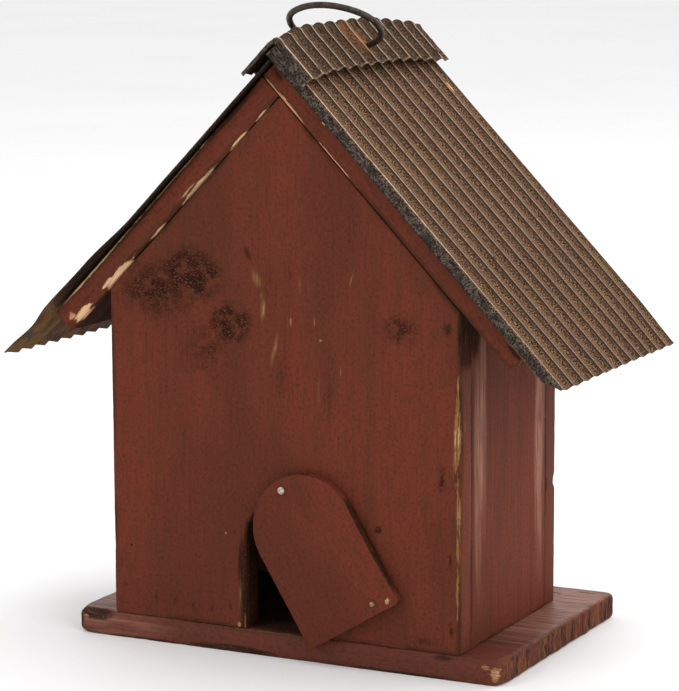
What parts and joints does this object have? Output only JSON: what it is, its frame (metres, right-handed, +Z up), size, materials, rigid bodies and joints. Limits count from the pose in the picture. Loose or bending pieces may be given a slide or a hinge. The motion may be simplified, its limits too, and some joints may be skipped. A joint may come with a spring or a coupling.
{
  "type": "birdhouse",
  "caption": "Gabled wooden birdhouse on a base board, with a corrugated tin roof and ridge cap, a wire carrying handle and an arched door that swings on a nail.",
  "frame": {"origin": "centre of the base board's underside", "axes": "+X to the right seen from the front, +Y from the front wall to the back, +Z up"},
  "size_m": [0.2402, 0.1259, 0.251],
  "materials": {
    "painted_wood": "worn red-brown paint over softwood, bare at edges",
    "rusty_tin": "rusted corrugated tin, matt",
    "dark_wire": "dark, lightly rusted round wire",
    "bright_nail": "dull bare steel nail head",
    "iron_nail": "rusted nail"
  },
  "bodies": {
    "house": {"base_board": "painted_wood", "front_wall": "painted_wood", "back_wall": "painted_wood", "left_wall": "painted_wood", "right_wall": "painted_wood", "left_roof_board": "painted_wood", "right_roof_board": "painted_wood", "left_roof_sheet": "rusty_tin", "right_roof_sheet": "rusty_tin", "ridge_cap": "rusty_tin", "door_pivot_nail": "bright_nail", "front_wall_nails": "iron_nail", "back_wall_nails": "iron_nail", "base_nails": "iron_nail", "left_board_nails": "iron_nail", "right_board_nails": "iron_nail", "ridge_nails": "iron_nail", "left_sheet_nails": "iron_nail", "right_sheet_nails": "iron_nail", "cap_nails": "iron_nail"},
    "door": {"door": "painted_wood", "door_pull_nail": "bright_nail"},
    "handle": {"wire_handle": "dark_wire"}
  },
  "joints": [
    {"name": "door_swing", "type": "hinge", "parent": "house", "child": "door", "pos_m": [0.0022, -0.0595, 0.0676], "axis": [0, -1, 0], "continuous": true},
    {"name": "handle_swing", "type": "hinge", "parent": "house", "child": "handle", "pos_m": [0, 0, 0.2328], "axis": [1, 0, 0], "range_deg": [-111, 9]}
  ]
}
